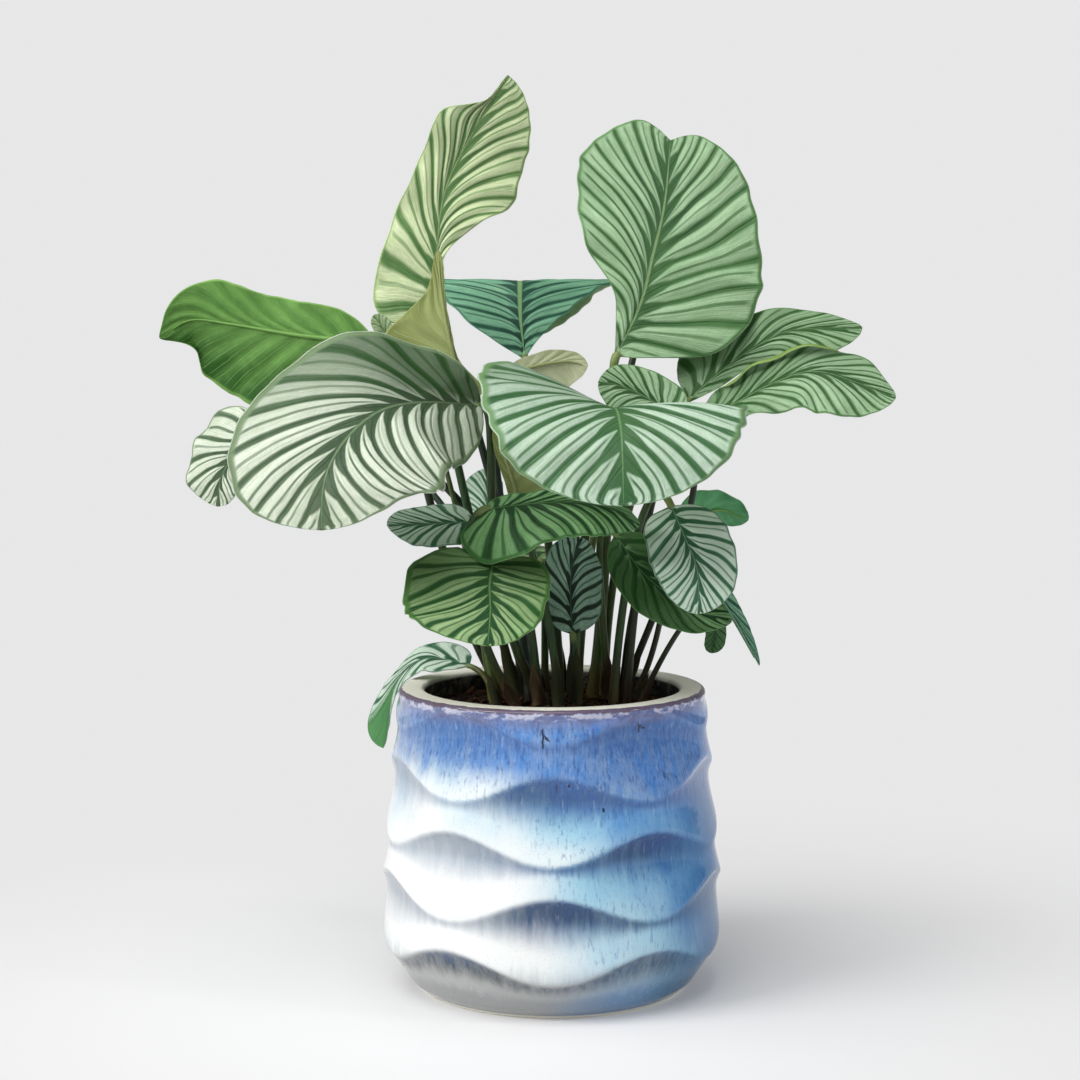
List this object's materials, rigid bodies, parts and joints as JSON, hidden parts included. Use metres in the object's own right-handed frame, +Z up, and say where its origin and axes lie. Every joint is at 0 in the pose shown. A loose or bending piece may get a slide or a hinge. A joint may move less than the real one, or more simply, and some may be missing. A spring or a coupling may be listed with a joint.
{
  "type": "potted plant",
  "caption": "Potted calathea: arching stalks with broad leaves banded in light and dark green, standing in soil in a blue glazed pot with waved hollows.",
  "frame": {"origin": "centre of the pot's flat underside", "axes": "+Z up, -Y towards the plant's front, +X to the right seen from the front"},
  "size_m": [0.6455, 0.4262, 0.7954],
  "materials": {
    "pot_glaze": "glossy running glaze, blue to white",
    "soil": "matte loose bark and fibre",
    "leaf_striped": "satin, pale bands on dark green",
    "leaf_warm": "satin, yellowish bands on green",
    "leaf_teal": "satin, blue green underside",
    "leaf_plain": "satin, bright green underside",
    "leaf_olive": "satin, olive underside",
    "leaf_dark": "satin, shaded dark green bands",
    "stalk": "satin dark green"
  },
  "bodies": {
    "root": {"pot": "pot_glaze", "soil": "soil", "leaf_top_left_blade": "leaf_warm", "leaf_top_left_stalk": "stalk", "leaf_turned_middle_left_blade": "leaf_olive", "leaf_turned_middle_left_stalk": "stalk", "leaf_top_right_blade": "leaf_striped", "leaf_top_right_stalk": "stalk", "leaf_left_back_blade": "leaf_plain", "leaf_left_back_stalk": "stalk", "leaf_left_front_blade": "leaf_striped", "leaf_left_front_stalk": "stalk", "leaf_left_small_blade": "leaf_striped", "leaf_left_small_stalk": "stalk", "leaf_front_middle_blade": "leaf_striped", "leaf_front_middle_stalk": "stalk", "leaf_middle_small_blade": "leaf_striped", "leaf_middle_small_stalk": "stalk", "leaf_back_middle_blade": "leaf_teal", "leaf_back_middle_stalk": "stalk", "leaf_turned_middle_blade": "leaf_olive", "leaf_turned_middle_stalk": "stalk", "leaf_right_upper_blade": "leaf_striped", "leaf_right_upper_stalk": "stalk", "leaf_right_lower_blade": "leaf_striped", "leaf_right_lower_stalk": "stalk", "leaf_low_middle_blade": "leaf_striped", "leaf_low_middle_stalk": "stalk", "leaf_low_left_blade": "leaf_striped", "leaf_low_left_stalk": "stalk", "leaf_left_pointing_blade": "leaf_striped", "leaf_left_pointing_stalk": "stalk", "leaf_pale_left_blade": "leaf_teal", "leaf_pale_left_stalk": "stalk", "leaf_low_right_blade": "leaf_striped", "leaf_low_right_stalk": "stalk", "leaf_turned_right_blade": "leaf_plain", "leaf_turned_right_stalk": "stalk", "leaf_low_dark_blade": "leaf_dark", "leaf_low_dark_stalk": "stalk", "leaf_right_hanging_blade": "leaf_teal", "leaf_right_hanging_stalk": "stalk", "leaf_inner_dark_blade": "leaf_dark", "leaf_inner_dark_stalk": "stalk", "leaf_over_rim_blade": "leaf_striped", "leaf_over_rim_stalk": "stalk", "leaf_young_blade": "leaf_striped", "leaf_young_stalk": "stalk", "leaf_low_tip_blade": "leaf_dark", "leaf_low_tip_stalk": "stalk", "leaf_turned_under_blade": "leaf_olive", "leaf_turned_under_stalk": "stalk", "leaf_rear_left_blade": "leaf_striped", "leaf_rear_left_stalk": "stalk", "leaf_rear_middle_blade": "leaf_striped", "leaf_rear_middle_stalk": "stalk", "leaf_rear_top_blade": "leaf_striped", "leaf_rear_top_stalk": "stalk", "leaf_rear_low_blade": "leaf_striped", "leaf_rear_low_stalk": "stalk"}
  },
  "joints": []
}
